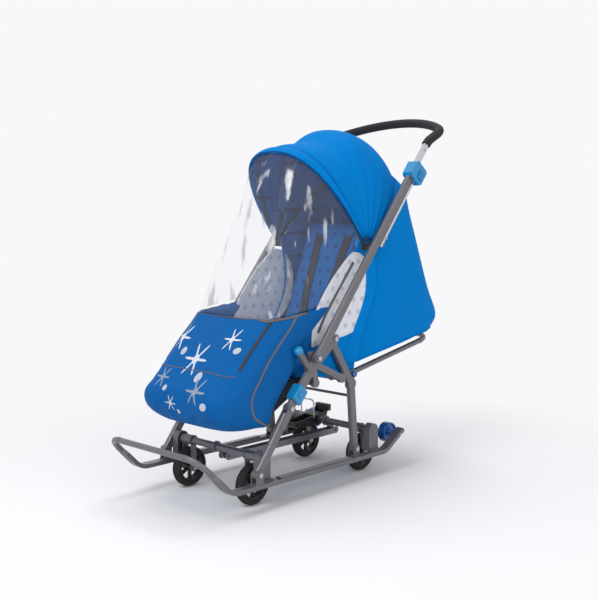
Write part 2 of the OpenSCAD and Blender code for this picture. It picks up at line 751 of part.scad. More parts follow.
module rear_frame() {
    eye = frame_d + 2;
    x0 = rear_leg_x - leg_t / 2 - gap - eye;
    color("dimgray") difference() {
        union() {
            at(frame_hinge, frame_angle) u_bar(x0 + eye / 2, frame_len, 60, frame_d, 6);
            both() bar_x(frame_hinge, 24, x0, x0 + eye);
        }
        both() bar_x(frame_hinge, pin_d + 2 * fit, x0 - 9, x0 + eye + 9);
    }
}

module seat_tubes() {
    x1 = leg_x - leg_t / 2 + gap;
    color("dimgray") difference() {
        union() {
            bar_x(seat_front, seat_tube_d, -x1 - leg_t + 5.5, x1 + leg_t - 5.5);
            bar_x(hanger, seat_tube_d, -x1 - leg_t + 5.5, x1 + leg_t - 5.5);
            both() plate(seat_half + 2, 6) { dot(rod, rod_d + 12); lobe(hanger, rod, 14); dot(hanger, 22); }
        }
        both() bar_x(rod, rod_d + 2 * fit, seat_half, seat_half + 9);
    }
}

// Handle

module handle_tube() {
    x0 = handle_x - leg_t / 2;
    color("dimgray") {
        difference() {
            union() {
                strut(pivot, handle_top, handle_x, leg_w, leg_t);
                bar_x(pivot, leg_w + 1, x0 + step, x0 + leg_t - step);
                // Lug for the lower end of the stay rod
                at(stay_foot, handle_angle, handle_x) rotate([-90, 0, 0]) translate([-4, 0, -11])
                    cube([8, stay_offset + 8, 22]);
            }
            bar_x(pivot, pin_d + 2 * fit, x0 - 1, x0 + leg_t + 1);
            // Hollow that the push bar leg slides in
            at(handle_top, handle_angle, handle_x) rotate([90, 0, 0]) translate([0, 0, -1])
                linear_extrude(bar_below + bar_dive + 20) pressed(slide_w + 2 * fit, slide_t + 2 * fit);
            at(stay_foot, handle_angle, handle_x) rotate([-90, 0, 0]) translate([0, stay_offset, -12])
                cylinder(d = stay_d + 2 * fit, h = 24);
        }
        // Stud that the hood bows turn on
        bar_x(hood, stud_d, stud_end - 3, x0 + 1);
        bar_x(hood, 2 * stud_d, stud_end - 3, stud_end);
    }
}

// Bright rods from the clamps down to the lugs, each with a small cross bolt
module stay_rods() {
    color("silver") both() {
        at(stay_foot, handle_angle, handle_x) rotate([-90, 0, 0]) translate([0, stay_offset, -16])
            cylinder(d = stay_d, h = stay_len);
        at(stay_foot, handle_angle, handle_x) rotate([-90, 0, 0]) translate([0, stay_offset, 15])
            rotate([0, 90, 0]) cylinder(d = 6, h = stay_d + 8, center = true);
    }
}

module clamp_block() {
    at(ahead(pivot, handle_angle, handle_len - clamp_len + 6), handle_angle, handle_x) rotate([-90, 0, 0])
        difference() {
            intersection() {
                translate([-clamp_t / 2, -17, 0]) cube([clamp_t, clamp_w, clamp_len]);
                translate([0, clamp_w / 2 - 17, clamp_len / 2]) rotate([0, 90, 0])
                    cylinder(d = norm([clamp_w, clamp_len]) - 8, h = clamp_t + 2, center = true);
            }
            translate([0, 0, -1]) linear_extrude(clamp_len - 5) pressed(leg_w + 2 * fit, leg_t + 2 * fit);
            linear_extrude(clamp_len + 1) pressed(slide_w + 1, slide_t + 1);
            translate([0, stay_offset, -1]) cylinder(d = stay_d + 2 * fit, h = clamp_len - 9);
            translate([clamp_t / 2 - 6, stay_offset - 10, clamp_len / 2 - 14]) cube([7, 22, 28]);
        }
}

module bar_clamps() { color("deepskyblue") both() clamp_block(); }

module clamp_button() {
    color("royalblue") at(ahead(pivot, handle_angle, handle_len - clamp_len + 6), handle_angle, handle_x)
        rotate([-90, 0, 0]) translate([clamp_t / 2 - 2, stay_offset - 10 + gap, clamp_len / 2 - 14 + gap])
        difference() {
            cube([6, 22 - 2 * gap, 28 - 2 * gap]);
            for (i = [0 : 3]) translate([4.8, 3, 5 + i * 5]) cube([2, 15, 1.6]);
        }
}

// The elbows, the flatter top and the bowed cross bar
module bar_path(d) {
    both() at(elbow, 0, handle_x) rotate([90, 0, 90]) bent(elbow_r, bar_angle + 90, handle_angle + 90, d);
    both() at(handle_top, handle_angle, handle_x) translate([0, bar_above, 0]) collar(d);
    at(elbow_end, bar_angle) {
        both() translate([handle_x, 0, 0]) collar(d);
        arch(handle_x, bar_top, bar_side_r, bar_bow_r, d);
    }
}

module push_bar() {
    color("silver") {
        bar_path(bar_d);
        at(handle_top, handle_angle) both() translate([handle_x, 0, 0]) rotate([-90, 0, 0]) {
            translate([0, 0, bar_above - 20]) cylinder(d = bar_d, h = 20 - half_joint);
            translate([0, 0, -bar_below]) linear_extrude(bar_below + bar_above - rest_gap)
                pressed(slide_w, slide_t);
        }
    }
}

module sleeve_ring() {
    difference() {
        circle(d = grip_d);
        circle(d = bar_d + collar_over + 2 * rest_gap);
    }
}
// Foam sleeve round an arc of the bar, cut a little short at both ends
module sleeve_arc(r, a0, a1) {
    cut = 57.3 * rest_gap / r;
    rotate(a0 + cut) rotate_extrude(angle = a1 - a0 - 2 * cut) translate([r, 0]) sleeve_ring();
}
module grip() {
    lean = arch_lean(handle_x, bar_side_r, bar_bow_r);
    low = arch_low(handle_x, bar_top, bar_side_r, bar_bow_r);
    color("#26262b") {
        both() at(elbow, 0, handle_x) rotate([90, 0, 90])
            sleeve_arc(elbow_r, bar_angle + 90, handle_angle + 90);
        at(elbow_end, bar_angle) {
            both() translate([handle_x, 0, 0]) rotate([-90, 0, 0]) linear_extrude(low) sleeve_ring();
            both() translate([handle_x - bar_side_r, low, 0]) sleeve_arc(bar_side_r, 0, 90 - lean);
            translate([0, bar_top - bar_bow_r, 0]) sleeve_arc(bar_bow_r, 90 - lean, 90 + lean);
        }
    }
}

// Hood

// The cloth stands up over each bow, dips between the front two and narrows towards the rim
function hood_turn(a) = (rim_angle - a) / (rim_angle - hood_rear_angle);
function hood_reach(a) = smooth([rim_reach, rim_reach - 16, crown_reach - 35, crown_reach - 3, crown_reach,
    crown_reach - 5, hood_rear_reach], hood_turn(a));
function hood_point(a, t, inset) = let(r = mix(30, hood_reach(a) - inset, depth(t, 0.81)))
    [across(t, 0.81) * (hood_half - 12 * (1 - hood_turn(a)) - inset),
        hood[0] + r * cos(a), hood[1] + r * sin(a)];

// U of wire that turns on the hood stud, each bow in its own layer counted in from the handle tube
module bow(a, reach, layer) {
    half = bow_half - layer * bow_gap;
    difference() {
        union() {
            at(hood, a) arch(half, reach, 400, 148, bow_d, stud_d);
            both() bar_x(hood, stud_d + 10, half - eye_t / 2, half + eye_t / 2);
        }
        both() bar_x(hood, stud_d + 2 * fit, half - 20, half + 20);
    }
}

module front_bow() { color("#333338") bow(front_bow_angle, hood_reach(front_bow_angle) - bow_inset, 2); }
module mid_bow() { color("#333338") bow(mid_bow_angle, hood_reach(mid_bow_angle) - bow_inset, 1); }
module rear_bow() { color("#333338") bow(hood_rear_angle + 2, hood_rear_reach - bow_inset, 0); }

module canopy() {
    rows = 16;
    cols = 22;
    function grid(inset) = [for (i = [0 : rows]) [for (j = [0 : cols])
        hood_point(mix(rim_angle, hood_rear_angle, i / rows), mix(90, -90, j / cols), inset)]];
    color("dodgerblue") skin(grid(0), grid(cloth));
}

// Rear cover from the hood down to the rear loop, with hanging folds
module back_cover() {
    rows = 10;
    cols = 24;
    seam = hood + rest_gap * 1.3 * [sin(hood_rear_angle), -cos(hood_rear_angle)];
    top = ahead(seam, hood_rear_angle, hood_rear_reach - 2);
    rear_line = [top, [402, 816], [455, 684], [518, 541], tail_tip - [0, 4], tail_tip - [30, 44]];
    front_line = [ahead(seam, hood_rear_angle, 60), [208, 684], [224, 610], [218, 530], [172, 440],
        [138, 346]];
    function point(v, t, inset) = let(
        r = smooth(rear_line, v),
        f = smooth(front_line, v),
        fold = 6 * v * sin(t * 9) * depth(t, 0.5),
        k = mix(0.81, 0.28, min(2.5 * v, 1)),
        away = mix([cos(hood_rear_angle), sin(hood_rear_angle)], [1, 0], min(4 * v, 1)),
        q = mix(f, r - inset * away, depth(t, k)) + [min(fold, 0), 0])
        [across(t, k) * (178 - inset), q[0], q[1]];
    function grid(inset) = [for (i = [0 : rows]) [for (j = [0 : cols])
        point(i / rows, mix(90, -90, j / cols), inset)]];
    color("dodgerblue") skin(grid(0), grid(cloth));
}

// Clear cover from the hood rim to the edge of the foot muff
module rain_cover() {
    rows = 8;
    cols = 20;
    film = 1.5;
    a = rim_angle - 0.5;
    function low(t, inset) = muff_point(0, t, muff_wall / 3 + inset) + [0, 0, rest_gap];
    function high(t, inset) = hood_point(a, t, cloth + 1 + inset);
    function grid(inset) = [for (i = [0 : rows]) [for (j = [0 : cols]) let(t = mix(-90, 90, j / cols))
        mix(high(t, inset), low(t, inset), i / rows)]];
    color([0.85, 0.9, 1, 0.4]) skin(grid(0), grid(film));
}

// Seat

// Cushion with a crowned top and drawn-in sides, in its own frame: x across, y along, z up
module cushion(half, length, thick, crown, channels) {
    rows = 16;
    cols = 14;
    function edge(s) = pow(max(1 - pow(abs(2 * s - 1), 6), 0), 0.5);
    function pull(s) = 1 - 0.025 * pow(sin(180 * s), 2);
    function top(i, j) = let(u = j / cols, v = i / rows)
        [(2 * u - 1) * half * pull(v), v * length, thick * 0.55
            + (thick * 0.45 + crown * sin(180 * u) * sin(180 * v)) * edge(u) * edge(v)
            - (channels > 0 ? 3 * pow(max(cos(v * channels * 360), 0), 8) * edge(u) * edge(v) : 0)];
    function base(i, j) = let(u = j / cols, v = i / rows) [(2 * u - 1) * half * pull(v), v * length, 0];
    skin([for (i = [0 : rows]) [for (j = [0 : cols]) top(i, cols - j)]],
        [for (i = [0 : rows]) [for (j = [0 : cols]) base(i, cols - j)]]);
}

module seat_pan() {
    front = -72;
    length = rod_y - rod_d / 2 - 10 - front;
    color("royalblue") translate([0, front, seat_z]) cushion(seat_half, length, seat_thick, crown, 0);
}

// Rod that the backrest hangs on, with a recline plate at each side of the cushion
module back_rod() {
    t = 4.5;
    plate_r = 120;
    color("dimgray") {
        bar_x(rod, rod_d, -seat_half - 9, seat_half + 9);
        both() plate(seat_half - t - 0.5, t) {
            dot(rod, rod_d + 12);
            polygon(concat([rod], [for (a = [-4 : 6 : 14]) ahead(rod, back_angle + a, plate_r)]));
        }
    }
}

module backrest() {
    color("royalblue") at(rod, back_angle) translate([0, rod_d / 2 + rest_gap, -back_thick / 2])
        cushion(seat_half - 6, back_len, back_thick, crown, 3);
}

// Two shoulder straps that lie on the backrest
module harness() {
    w = 26;
    color("#2b3350") at(rod, back_angle) both() translate([42, 60, back_thick / 2 + 0.9 * crown + rest_gap])
        cube([w, back_len - 160, 2.5]);
}

module buckle() {
    top = seat_z + seat_thick + crown + rest_gap;
    color("#1d1d22") {
        translate([-14, -14, top]) cube([28, 60, 3]);
        translate([-22, 46 - 44, top + 3 + rest_gap]) cube([44, 44, 14]);
    }
}

// White inner side walls between the seat, the handle tubes and the hood
module side_panels() {
    t = 4;
    panel_x = rear_leg_x - leg_t / 2 - rest_gap - t;
    outline = [[-30, 404], [30, 416], [110, 424], [165, 444], [205, 490], [222, 550], [212, 606], [184, 642],
        [156, 654], [128, 648], [60, 590], [2, 522], [-24, 470]];
    n = 36;
    color("whitesmoke") both() plate(panel_x, t)
        polygon([for (i = [0 : n - 1]) smooth(concat(outline, [outline[0]]), i / n)]);
}

// Front line of the muff from the knees over the toe to the underside, and the rear line of its sides
muff_front = [[-196, 490], [-228, 458], [-268, 420], [-316, 368], [-362, 318], [-388, 284], [-378, 250],
    [-336, 222], [-268, 206], [-206, 202]];
muff_rear = [[40, 518], [-6, 472], [-50, 430], [-80, 398], [-94, 362], [-114, 330], [-138, 300],
    [-160, 272], [-178, 245], [-192, 212]];
function muff_point(v, t, inset) = let(
    f = smooth(muff_front, v),
    s = smooth(muff_rear, v),
    d = f - s,
    q = mix(s, f - inset * d / norm(d), depth(t, 0.27)))
    [across(t, 0.27) * (muff_half - inset), q[0], q[1]];

// Foot muff: a padded bag over the legs with side aprons, open towards the seat
module muff() {
    rows = 20;
    cols = 22;
    function grid(inset) = [for (i = [0 : rows]) [for (j = [0 : cols])
        muff_point(i / rows, mix(-90, 90, j / cols), inset)]];
    color("dodgerblue") skin(grid(0), grid(muff_wall));
}

// Calf board that swings up on two eyes round the front seat tube
module footrest() {
    half = muff_half - muff_wall - 4;
    eye_w = half - seat_half - 2;
    color("#30405c") difference() {
        union() {
            at(seat_front, 208) translate([-half, seat_tube_d / 2 + 1, -4]) cube([2 * half, 150, 8]);
            both() bar_x(seat_front, seat_tube_d + 6, half - eye_w, half);
        }
        both() bar_x(seat_front, seat_tube_d + 2 * fit, half - eye_w - 1, half + 1);
    }
}

place() runner_frame();
place() runner_rails();
place() front_brackets();
place() rear_brackets();
place() leg_feet();
place() chassis_bolts();
place() rear_roller();  // rear_roller_left
place() right() rear_roller();  // rear_roller_right
place() front_axle_tube();
place() front_forks();
place() front_wheel_bolts();
place() rear_axle_tube();
place() rear_forks();
place() rear_wheel_bolts();
place() pedal();
place() latch_bail();
place() link_bar();
place() tyre(front_hub, front_track / 2);  // tyre_front_left
place() right() tyre(front_hub, front_track / 2);  // tyre_front_right
place() tyre(rear_hub, rear_track / 2);  // tyre_rear_left
place() right() tyre(rear_hub, rear_track / 2);  // tyre_rear_right
place() rim(front_hub, front_track / 2);  // rim_front_left
place() right() rim(front_hub, front_track / 2);  // rim_front_right
place() rim(rear_hub, rear_track / 2);  // rim_rear_left
place() right() rim(rear_hub, rear_track / 2);  // rim_rear_right
place() front_legs();
place() side_frame();  // side_frame_left
place() right() side_frame();  // side_frame_right
place() frame_bolts();
place() knee_sleeve();  // knee_sleeve_left
place() right() knee_sleeve();  // knee_sleeve_right
place() latch_knob();  // latch_knob_left
place() right() latch_knob();  // latch_knob_right
place() rear_legs();
place() cross_rod();
place() hinge_caps();
place() rear_frame();
place() seat_tubes();
place() handle_tube();  // handle_tube_left
place() right() handle_tube();  // handle_tube_right
place() stay_rods();
place() bar_clamps();
place() clamp_button();  // clamp_button_left
place() right() clamp_button();  // clamp_button_right
place() push_bar();
place() grip();
place() front_bow();
place() mid_bow();
place() rear_bow();
place() canopy();
place() back_cover();
place() rain_cover();
place() seat_pan();
place() back_rod();
place() backrest();
place() harness();
place() buckle();
place() side_panels();
place() muff();
place() footrest();
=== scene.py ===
import math
import bmesh
import bpy
import numpy as np
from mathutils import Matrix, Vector
from mathutils.bvhtree import BVHTree


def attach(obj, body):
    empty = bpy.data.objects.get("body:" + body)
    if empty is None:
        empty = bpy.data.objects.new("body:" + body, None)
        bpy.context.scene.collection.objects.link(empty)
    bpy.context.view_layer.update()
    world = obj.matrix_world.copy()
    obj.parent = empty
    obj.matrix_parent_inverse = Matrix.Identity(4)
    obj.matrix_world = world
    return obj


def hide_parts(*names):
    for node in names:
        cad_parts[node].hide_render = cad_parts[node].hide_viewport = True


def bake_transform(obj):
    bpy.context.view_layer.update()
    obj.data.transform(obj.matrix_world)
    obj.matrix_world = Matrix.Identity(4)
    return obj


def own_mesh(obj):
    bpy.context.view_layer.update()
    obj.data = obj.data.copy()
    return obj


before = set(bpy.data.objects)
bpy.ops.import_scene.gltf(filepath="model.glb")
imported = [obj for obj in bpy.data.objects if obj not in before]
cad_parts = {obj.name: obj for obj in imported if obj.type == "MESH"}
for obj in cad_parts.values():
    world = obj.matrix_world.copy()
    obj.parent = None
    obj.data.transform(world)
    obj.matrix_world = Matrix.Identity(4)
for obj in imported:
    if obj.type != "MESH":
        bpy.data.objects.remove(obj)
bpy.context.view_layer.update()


# Photograph: a pale studio sweep, soft light from above and the left, and a camera at the height of the
# hood, looking at the near front corner. None of it belongs to the stroller.
MIDDLE_Y = 53.245


def row(p):
    """A point in millimetres, measured from the middle of the wheelbase, in the row frame."""
    return np.array([p[0], p[1] - MIDDLE_Y, p[2]]) / 1000


CAMERA_AT = (1979.57, -1979.86, 799.23)
CAMERA_TURN, CAMERA_PITCH = 43.79, 5.70
FOCAL_PX, IMAGE_PX, SENSOR_MM = 984.2, 598, 36.0
cam = bpy.data.cameras.new("camera")
cam.sensor_fit, cam.sensor_width = "HORIZONTAL", SENSOR_MM
cam.lens = FOCAL_PX / IMAGE_PX * SENSOR_MM
camera = bpy.data.objects.new("camera", cam)
bpy.context.collection.objects.link(camera)
camera.location = row(CAMERA_AT)
camera.rotation_euler = (math.radians(90 - CAMERA_PITCH), 0, math.radians(CAMERA_TURN))
bpy.context.scene.camera = camera
bpy.context.scene.view_settings.view_transform = "Standard"


class Shade:
    """A value in a material's node tree: arithmetic adds math nodes, make() adds any other node."""

    def __init__(self, tree, socket=None):
        self.tree, self.socket = tree, socket

    def feed(self, slot, value):
        """Links a shade to a socket, or sets the socket to a plain value."""
        if isinstance(value, Shade):
            self.tree.links.new(value.socket, slot)
        else:
            slot.default_value = value

    def make(self, kind, inputs, out=0, **settings):
        node = self.tree.nodes.new(kind)
        for key, value in settings.items():
            setattr(node, key, value)
        for key, value in inputs.items():
            self.feed(node.inputs[key], value)
        return Shade(self.tree, node.outputs[out])

    def math(self, kind, *values):
        return self.make("ShaderNodeMath", dict(enumerate(values)), operation=kind)

    def mix(self, a, b):
        """Colour a where this value is 0 and b where it is 1."""
        return self.make("ShaderNodeMix", {0: self, 6: a, 7: b}, out=2, data_type="RGBA")

    def __add__(self, o): return self.math("ADD", self, o)
    def __radd__(self, o): return self.math("ADD", o, self)
    def __sub__(self, o): return self.math("SUBTRACT", self, o)
    def __rsub__(self, o): return self.math("SUBTRACT", o, self)
    def __mul__(self, o): return self.math("MULTIPLY", self, o)
    def __rmul__(self, o): return self.math("MULTIPLY", o, self)
    def __truediv__(self, o): return self.math("DIVIDE", self, o)
    def __rtruediv__(self, o): return self.math("DIVIDE", o, self)
    def __lt__(self, o): return self.math("LESS_THAN", self, o)
    def __gt__(self, o): return self.math("GREATER_THAN", self, o)


def linear(rgb):
    """A colour given as 0 to 255 screen values."""
    c = [v / 255 for v in rgb]
    return tuple(v / 12.92 if v <= 0.04045 else ((v + 0.055) / 1.055) ** 2.4 for v in c) + (1.0,)


def material(name, rgb, rough, metal=0.0, coat=0.0, grain=0.0, grain_size=900.0, mottle=0.06, shine=0.5,
             paint=None):
    """Plain finish with a faint mottle in colour and gloss, and a fine grain in its surface.
    paint takes the shade, its coordinates and the colour, and gives the colour back with a pattern on it."""
    mat = bpy.data.materials.new(name)
    mat.use_nodes = True
    tree = mat.node_tree
    bsdf = tree.nodes["Principled BSDF"]
    s = Shade(tree)
    xyz = s.make("ShaderNodeTexCoord", {}, out=3)
    noise = s.make("ShaderNodeTexNoise", {"Vector": xyz, "Scale": 38.0, "Detail": 4.0})
    base = linear(rgb)
    dark = tuple(v * (1 - 2 * mottle) for v in base[:3]) + (1.0,)
    colour = noise.mix(dark, tuple(min(1, v * (1 + mottle)) for v in base[:3]) + (1.0,))
    if paint:
        colour = paint(s, xyz, colour)
    s.feed(bsdf.inputs["Base Color"], colour)
    s.feed(bsdf.inputs["Roughness"], rough - 0.05 + 0.1 * noise)
    s.feed(bsdf.inputs["Metallic"], metal)
    s.feed(bsdf.inputs["Coat Weight"], coat)
    s.feed(bsdf.inputs["Specular IOR Level"], shine)
    if grain:
        fine = s.make("ShaderNodeTexNoise", {"Vector": xyz, "Scale": grain_size, "Detail": 2.0})
        bump = s.make("ShaderNodeBump", {"Height": fine, "Strength": grain, "Distance": 0.0006})
        s.feed(bsdf.inputs["Normal"], bump)
    return mat


def dress(mat, *nodes):
    """Gives the frame's own pieces their finish."""
    for n in nodes:
        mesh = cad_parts[n].data
        mesh.materials.clear()
        mesh.materials.append(mat)


def backdrop_rays(s):
    """1 for rays that show the backdrop: to the camera, in a reflection or through a clear piece."""
    camera_ray, glossy_ray, clear_ray = [s.make("ShaderNodeLightPath", {}, out="Is %s Ray" % kind)
                                         for kind in ("Camera", "Glossy", "Transmission")]
    return s.math("MAXIMUM", camera_ray, s.math("MAXIMUM", glossy_ray, clear_ray))


PALE = (0.938, 0.938, 0.956, 1.0)
FLOOR_HALF, FLOOR_Z = 30, -0.001
CLEAR_FROM, CLEAR_TO = 0.55, 1.5
floor_mesh = bpy.data.meshes.new("floor")
floor_corners = [(-1, -1), (1, -1), (1, 1), (-1, 1)]
floor_mesh.from_pydata([(x * FLOOR_HALF, y * FLOOR_HALF, 0) for x, y in floor_corners], [], [(0, 1, 2, 3)])
floor = bpy.data.objects.new("floor", floor_mesh)
bpy.context.collection.objects.link(floor)
floor.location.z = FLOOR_Z
paper = material("floor_paper", (250, 250, 251), 0.9, mottle=0.0, shine=0.0)
floor_mesh.materials.append(paper)
# The paper fades into the backdrop's own white away from the object
ps = Shade(paper.node_tree)
place = ps.make("ShaderNodeTexCoord", {}, out=3)
place = ps.make("ShaderNodeVectorMath", {0: place}, out=1, operation="LENGTH")
fade = ps.make("ShaderNodeMapRange", {"Value": place, 1: CLEAR_FROM, 2: CLEAR_TO},
               interpolation_type="SMOOTHSTEP")
glow = ps.make("ShaderNodeEmission", {"Color": PALE})
lit = Shade(paper.node_tree, paper.node_tree.nodes["Principled BSDF"].outputs[0])
faded = ps.make("ShaderNodeMixShader", {0: fade * backdrop_rays(ps), 1: lit, 2: glow})
ps.feed(paper.node_tree.nodes["Material Output"].inputs[0], faded)

world = bpy.data.worlds.new("sweep")
bpy.context.scene.world = world
world.use_nodes = True
sky = Shade(world.node_tree)
LIGHT_LEVEL, SCREEN_LEVEL = 0.62, 1.0
sky.feed(world.node_tree.nodes["Background"].inputs["Color"], PALE)
sky.feed(world.node_tree.nodes["Background"].inputs["Strength"],
         LIGHT_LEVEL + backdrop_rays(sky) * (SCREEN_LEVEL - LIGHT_LEVEL))


def lamp(name, at, aim, size, watts):
    """A round soft lamp, placed and sized in metres."""
    data = bpy.data.lights.new(name, "AREA")
    data.shape, data.size, data.energy = "DISK", size, watts
    obj = bpy.data.objects.new(name, data)
    bpy.context.collection.objects.link(obj)
    obj.location = at
    obj.rotation_euler = (Vector(aim) - Vector(at)).to_track_quat("-Z", "Y").to_euler()


lamp("key", (0.2, -2.6, 2.9), (0, 0, 0.5), 1.6, 42)
lamp("fill", (3.0, -0.6, 1.6), (0, 0, 0.5), 2.2, 18)
lamp("top", (-0.6, 0.8, 3.2), (0, 0.1, 0.6), 1.8, 24)


# Sled chassis: runners pressed flat from round steel tube and bent up at both ends, with a stiffening
# strip, riveted axle brackets and leg clevises, all in a dark grey powder coat, and two blue rollers.
STEEL_GREY = (108, 107, 112)
frame_paint = material("frame_paint", STEEL_GREY, 0.42, metal=0.35, coat=0.25, grain=0.25)
bracket_paint = material("bracket_paint", (104, 104, 110), 0.45, metal=0.3, coat=0.2, grain=0.25)
sheet_steel = material("sheet_steel", (132, 132, 138), 0.38, metal=0.8, grain=0.2)
bolt_steel = material("bolt_steel", (188, 188, 192), 0.3, metal=0.95, grain=0.1)
roller_blue = material("roller_blue", (12, 84, 160), 0.3, coat=0.35)
dress(frame_paint, "runner_frame", "leg_feet")
dress(bracket_paint, "front_brackets", "rear_brackets")
dress(sheet_steel, "runner_rails")
dress(bolt_steel, "chassis_bolts")
dress(roller_blue, "rear_roller_left", "rear_roller_right", "hinge_caps")


# Wheel lift: two axle tubes with welded forks and levers, a folded steel link channel, a black moulded
# pedal trough with a wire catch, and four black rubber tyres on black spoked rims.
black_plastic = material("black_plastic", (26, 26, 30), 0.48, grain=0.35)


def tread(s, xyz, colour):
    """Worn rubber: dull brown dust over the black."""
    dust = s.make("ShaderNodeTexNoise", {"Vector": xyz, "Scale": 60.0, "Detail": 5.0})
    return (dust * 0.35).mix(colour, linear((58, 55, 52)))


tyre_rubber = material("tyre_rubber", (15, 15, 17), 0.8, grain=0.7, grain_size=420.0, paint=tread)
dress(frame_paint, "front_axle_tube", "front_forks", "rear_axle_tube", "rear_forks")
dress(bolt_steel, "front_wheel_bolts", "rear_wheel_bolts", "latch_bail")
dress(sheet_steel, "link_bar")
dress(black_plastic, "pedal")
for corner in ("front_left", "front_right", "rear_left", "rear_right"):
    dress(tyre_rubber, "tyre_" + corner)
    dress(black_plastic, "rim_" + corner)


# Folding frame: pressed steel legs bolted at knee and apex, blue moulded knee sleeves and latch knobs,
# a rear loop and cross tubes that carry the seat.
clamp_blue = material("clamp_blue", (0, 138, 196), 0.34, coat=0.3, grain=0.1)
dress(frame_paint, "front_legs", "side_frame_left", "side_frame_right", "rear_legs", "cross_rod",
      "rear_frame", "seat_tubes", "back_rod")
dress(bolt_steel, "frame_bolts")
dress(clamp_blue, "knee_sleeve_left", "knee_sleeve_right", "latch_knob_left", "latch_knob_right")


# Handle: two grey pressed tubes with a bright stay rod behind each, blue clamps with buttons, and a
# telescopic chromed push bar in a black foam grip.
chrome = material("chrome", (200, 200, 204), 0.14, metal=1.0, mottle=0.02)
foam = material("foam", (34, 34, 38), 0.88, grain=1.0, grain_size=700.0)
dress(frame_paint, "handle_tube_left", "handle_tube_right")
dress(chrome, "push_bar", "stay_rods")
dress(clamp_blue, "bar_clamps", "clamp_button_left", "clamp_button_right")
dress(foam, "grip")


# Hood bows: three arches of steel wire in a dark plastic sheath. Their eyes sit side by side on one stud
# at each handle tube, so the bows turn there and spread the hood.
bow_plastic = material("bow_plastic", (52, 52, 58), 0.5)
dress(bow_plastic, "front_bow", "mid_bow", "rear_bow")


# Seat: a boarded, wadded cushion and a backrest sewn in three channels, both in dotted blue cloth. Two dark
# shoulder straps lie on the backrest, over a black buckle.
def mix(a, b, s):
    """From a to b as s goes from 0 to 1."""
    return a + (b - a) * s


def ahead(p, angle, d):
    """The point of the side view that lies d from p at an angle to the ground."""
    return np.array(p, float) + d * np.array([math.cos(math.radians(angle)), math.sin(math.radians(angle))])


class Piece:
    """Vertices in millimetres and faces of one sewn piece, with the material of each face."""

    def __init__(self):
        self.points, self.faces, self.mats = [], [], []

    def grid(self, rows, mat=0, flip=False):
        base, cols = len(self.points), len(rows[0])
        self.points += [tuple(p) for r in rows for p in r]
        for i in range(len(rows) - 1):
            for j in range(cols - 1):
                a, b = base + i * cols + j, base + i * cols + j + 1
                f = (a, b, b + cols, a + cols)
                self.faces.append(f[::-1] if flip else f)
                self.mats.append(mat)
        return base

    def shell(self, outer, inner, out_mat=0, in_mat=0, rim_mat=0):
        """Closed cloth between an outer and an inner grid of points."""
        a, b = self.grid(outer, out_mat), self.grid(inner, in_mat, flip=True)
        r, c = len(outer), len(outer[0])
        loop = [j for j in range(c)] + [i * c + c - 1 for i in range(1, r)]
        loop += [(r - 1) * c + j for j in range(c - 2, -1, -1)] + [i * c for i in range(r - 2, 0, -1)]
        for k, m in zip(loop, loop[1:] + loop[:1]):
            self.faces.append((a + m, a + k, b + k, b + m))
            self.mats.append(rim_mat)

    def tube(self, path, wide, thick=None, mat=0, up=(0, 0, 1), sides=8):
        """Closed cord or flat binding along a path."""
        path = [np.array(p, float) for p in path]
        rings, thick = [], thick or wide
        for i, p in enumerate(path):
            d = path[min(i + 1, len(path) - 1)] - path[max(i - 1, 0)]
            d /= np.linalg.norm(d) + 1e-9
            side = np.cross(d, np.array(up[i] if np.ndim(up) == 2 else up, float))
            side /= np.linalg.norm(side) + 1e-9
            out = np.cross(side, d)
            rings.append([p + wide / 2 * math.cos(q) * side + thick / 2 * math.sin(q) * out
                          for q in np.linspace(0, 2 * math.pi, sides + 1)[:-1]])
        base = len(self.points)
        self.points += [tuple(p) for r in rings for p in r]
        for i in range(len(rings) - 1):
            for j in range(sides):
                k = (j + 1) % sides
                self.faces.append((base + i * sides + j, base + i * sides + k,
                                   base + (i + 1) * sides + k, base + (i + 1) * sides + j))
                self.mats.append(mat)
        last = base + (len(rings) - 1) * sides
        self.faces += [tuple(base + j for j in range(sides))[::-1], tuple(last + j for j in range(sides))]
        self.mats += [mat, mat]

    def build(self, name, *materials):
        mesh = bpy.data.meshes.new(name)
        mesh.from_pydata([tuple(row(p)) for p in self.points], [], self.faces)
        for m in materials:
            mesh.materials.append(m)
        mesh.polygons.foreach_set("material_index", self.mats)
        mesh.polygons.foreach_set("use_smooth", [True] * len(self.faces))
        bm = bmesh.new()
        bm.from_mesh(mesh)
        bmesh.ops.recalc_face_normals(bm, faces=bm.faces)
        bm.to_mesh(mesh)
        bm.free()
        obj = bpy.data.objects.new(name, mesh)
        bpy.context.collection.objects.link(obj)
        return obj


def apply_all(obj):
    """The evaluated mesh takes the place of the object's mesh and its modifiers."""
    done = bpy.data.meshes.new_from_object(obj.evaluated_get(bpy.context.evaluated_depsgraph_get()))
    obj.modifiers.clear()
    obj.data = done
    obj.data.polygons.foreach_set("use_smooth", [True] * len(done.polygons))


PLUMP_FRAMES = 20


